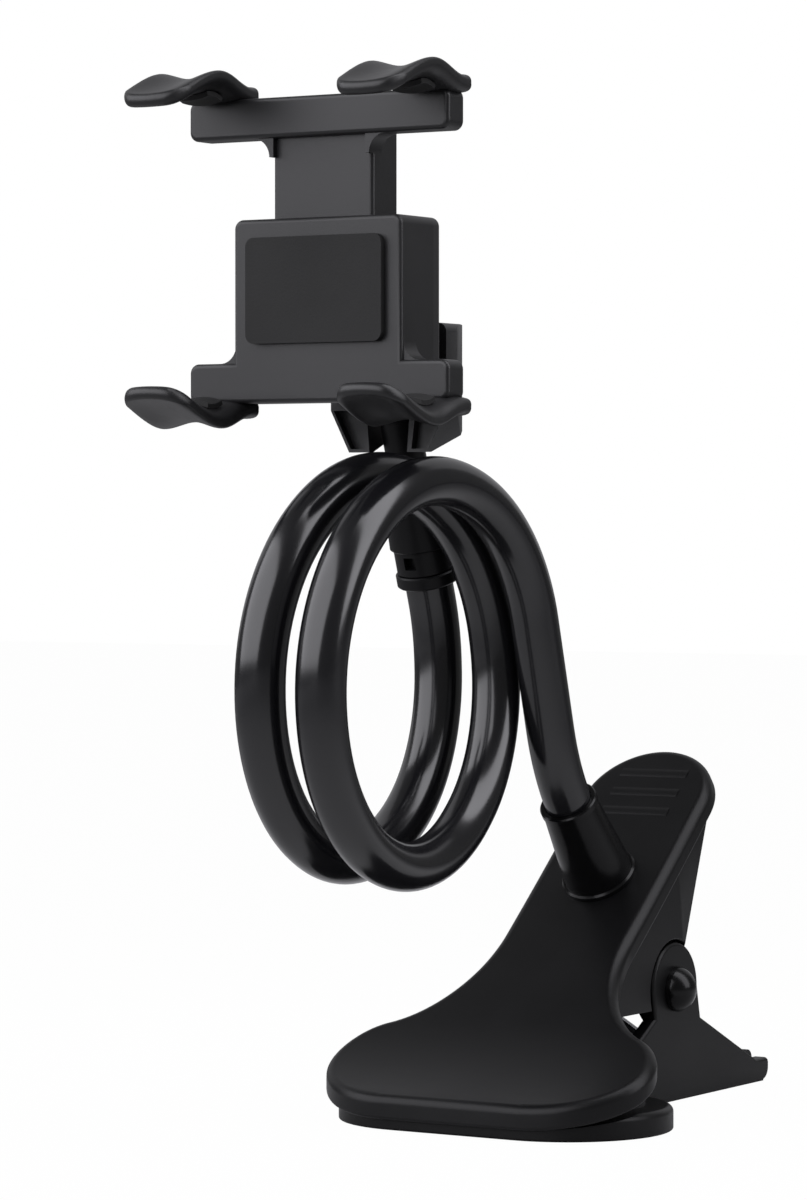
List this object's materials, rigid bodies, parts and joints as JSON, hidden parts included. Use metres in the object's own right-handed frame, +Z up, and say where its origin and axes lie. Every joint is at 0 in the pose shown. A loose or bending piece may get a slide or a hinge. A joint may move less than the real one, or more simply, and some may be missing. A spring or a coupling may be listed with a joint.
{
  "type": "phone holder",
  "caption": "Clip-on phone holder: a sprung clamp base, a wound gooseneck arm, a ball joint and a sliding cradle with hooked claws.",
  "frame": {"origin": "point of the base plane directly under the clamp pivot", "axes": "+Z up, -Y from the pivot towards the bite and the cradle's front, +X to the right seen from the front"},
  "size_m": [0.0996, 0.1697, 0.2244],
  "materials": {
    "jaw": "satin black moulding",
    "gloss": "polished black moulding",
    "sheath": "smooth black sleeve with a soft shine",
    "neck": "satin black moulding",
    "soft": "soft-touch dark grey",
    "head": "fine-grained black moulding",
    "pad": "matt black rubber",
    "core": "drawn soft wire",
    "steel": "zinc-plated"
  },
  "bodies": {
    "base": {"lower_jaw": "jaw", "lower_jaw_pad": "pad", "pivot_pin": "steel", "pivot_caps": "gloss", "torsion_spring": "steel"},
    "arm": {"upper_jaw": "jaw", "upper_jaw_pad": "pad", "arm_boot": "gloss", "arm_screw": "steel", "arm_washer": "steel", "arm_sheath": "sheath", "arm_core": "core", "arm_ferrule": "neck"},
    "neck": {"ball_neck": "neck"},
    "cradle": {"cradle_body": "soft", "cradle_back": "head", "socket_cover": "head", "cover_screws": "steel", "back_screws": "steel", "grip_spring": "steel", "back_pad": "pad", "lower_left_claw_pad": "pad", "lower_right_claw_pad": "pad"},
    "slider": {"upper_slider": "soft", "upper_left_claw_pad": "pad", "upper_right_claw_pad": "pad"}
  },
  "joints": [
    {"name": "clamp_hinge", "type": "hinge", "parent": "base", "child": "arm", "pos_m": [0, 0, 0.0249], "axis": [-1, 0, 0], "range_deg": [0, 35], "stiffness_Nm_per_rad": 0.9, "springref_deg": -68.75, "deforming": ["torsion_spring"]},
    {"name": "head_swivel", "type": "hinge", "parent": "arm", "child": "neck", "pos_m": [-0.0261, -0.0375, 0.106], "axis": [0, -0.3256, 0.9455], "range_deg": [-40, 40]},
    {"name": "head_tilt", "type": "hinge", "parent": "neck", "child": "cradle", "pos_m": [-0.0261, -0.05534, 0.15781], "axis": [-1, 0, 0], "range_deg": [-4, 18]},
    {"name": "jaw_slide", "type": "slide", "parent": "cradle", "child": "slider", "axis": [0, 0, 1], "range_m": [-0.012, 0.012], "stiffness_N_per_m": 500, "deforming": ["grip_spring"]}
  ]
}
